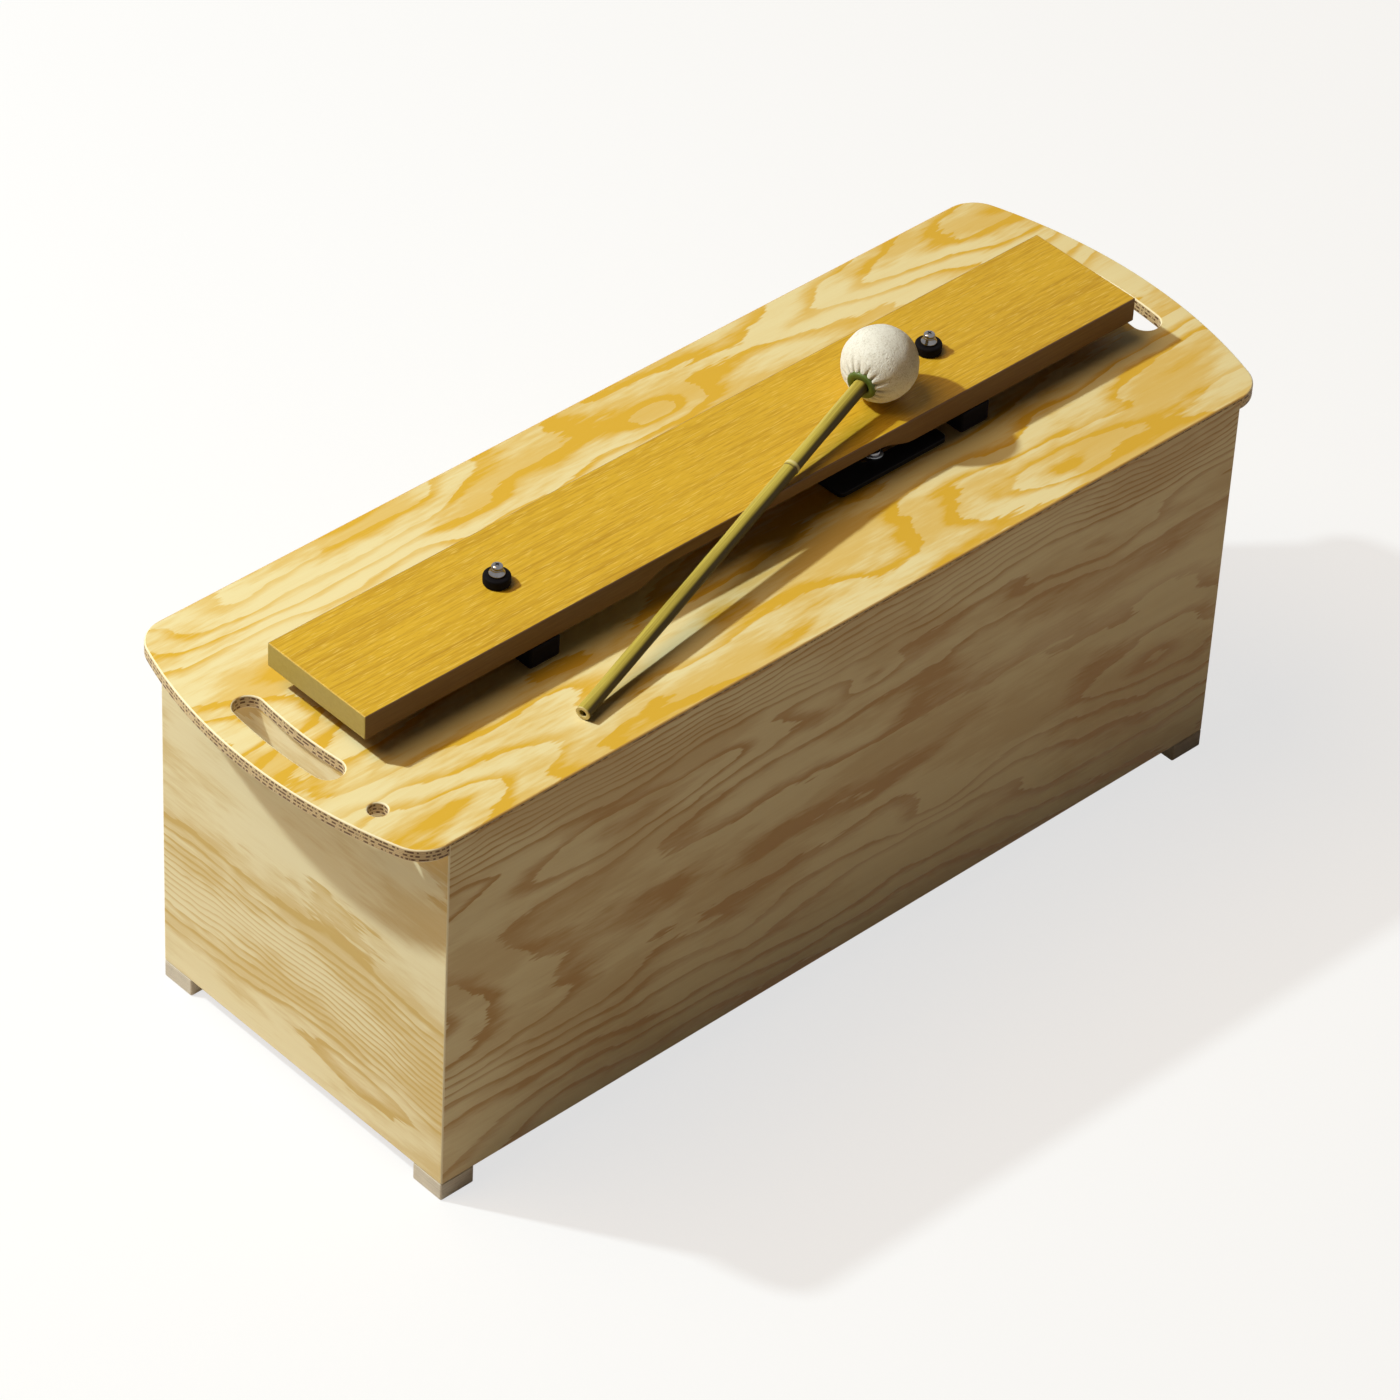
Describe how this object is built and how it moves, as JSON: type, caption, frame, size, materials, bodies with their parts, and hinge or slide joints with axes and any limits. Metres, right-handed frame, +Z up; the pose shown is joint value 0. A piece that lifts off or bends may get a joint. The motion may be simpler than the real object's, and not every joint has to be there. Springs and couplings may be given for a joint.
{
  "type": "chime bar",
  "caption": "Deep tuned wooden bar bolted through rubber over a plywood resonator box with hand slots, a tuning slider and a mallet.",
  "frame": {"origin": "on the floor, under the middle of the box (feet at z = 0)", "axes": "+X along the tone bar towards the tuning slider, +Y towards the rear, +Z up; the mallet hole is at the -X, -Y corner"},
  "size_m": [0.68, 0.24, 0.3372],
  "materials": {
    "birch_ply": "satin lacquer",
    "pine_batten": "sawn",
    "foot_grey": "pressed felt block",
    "zinc_steel": "zinc plated",
    "polished_steel": "polished",
    "black_rubber": "matt",
    "slider_black": "matt",
    "bar_wood": "satin lacquer",
    "green_cane": "varnished cane",
    "collar_green": "dyed band",
    "core_rubber": "moulded",
    "white_felt": "wool felt"
  },
  "bodies": {
    "sound_box": {"top_plate": "birch_ply", "front_wall": "birch_ply", "rear_wall": "birch_ply", "left_wall": "birch_ply", "right_wall": "birch_ply", "bottom_panel": "birch_ply", "corner_post_front_left": "pine_batten", "corner_post_front_right": "pine_batten", "corner_post_rear_left": "pine_batten", "corner_post_rear_right": "pine_batten", "bottom_cleat_front": "pine_batten", "bottom_cleat_rear": "pine_batten", "foot_front_left": "foot_grey", "foot_front_right": "foot_grey", "foot_rear_left": "foot_grey", "foot_rear_right": "foot_grey", "foot_screw_front_left": "zinc_steel", "foot_screw_front_right": "zinc_steel", "foot_screw_rear_left": "zinc_steel", "foot_screw_rear_right": "zinc_steel", "bottom_screw_front_1": "zinc_steel", "bottom_screw_front_2": "zinc_steel", "bottom_screw_front_3": "zinc_steel", "bottom_screw_rear_1": "zinc_steel", "bottom_screw_rear_2": "zinc_steel", "bottom_screw_rear_3": "zinc_steel", "bolt_washer_left": "zinc_steel", "bolt_washer_right": "zinc_steel", "bolt_nut_left": "zinc_steel", "bolt_nut_right": "zinc_steel", "slider_washer_front": "zinc_steel", "slider_washer_rear": "zinc_steel", "bar_bolt_left": "polished_steel", "bar_bolt_right": "polished_steel", "bolt_ferrule_left": "polished_steel", "bolt_ferrule_right": "polished_steel", "slider_screw_front": "polished_steel", "slider_screw_rear": "polished_steel", "bar_rest_left": "black_rubber", "bar_rest_right": "black_rubber", "bar_bush_left": "black_rubber", "bar_bush_right": "black_rubber", "tone_bar": "bar_wood"},
    "mallet": {"mallet_cover": "white_felt", "mallet_core": "core_rubber", "mallet_collar": "collar_green", "mallet_handle": "green_cane"},
    "tuning_slider": {"tuning_slider": "slider_black"}
  },
  "joints": [
    {"name": "mallet_lift", "type": "slide", "parent": "sound_box", "child": "mallet", "axis": [0, 0, 1], "range_m": [0, 0.15]},
    {"name": "slider_slide", "type": "slide", "parent": "sound_box", "child": "tuning_slider", "axis": [1, 0, 0], "range_m": [-0.025, 0.008]}
  ]
}
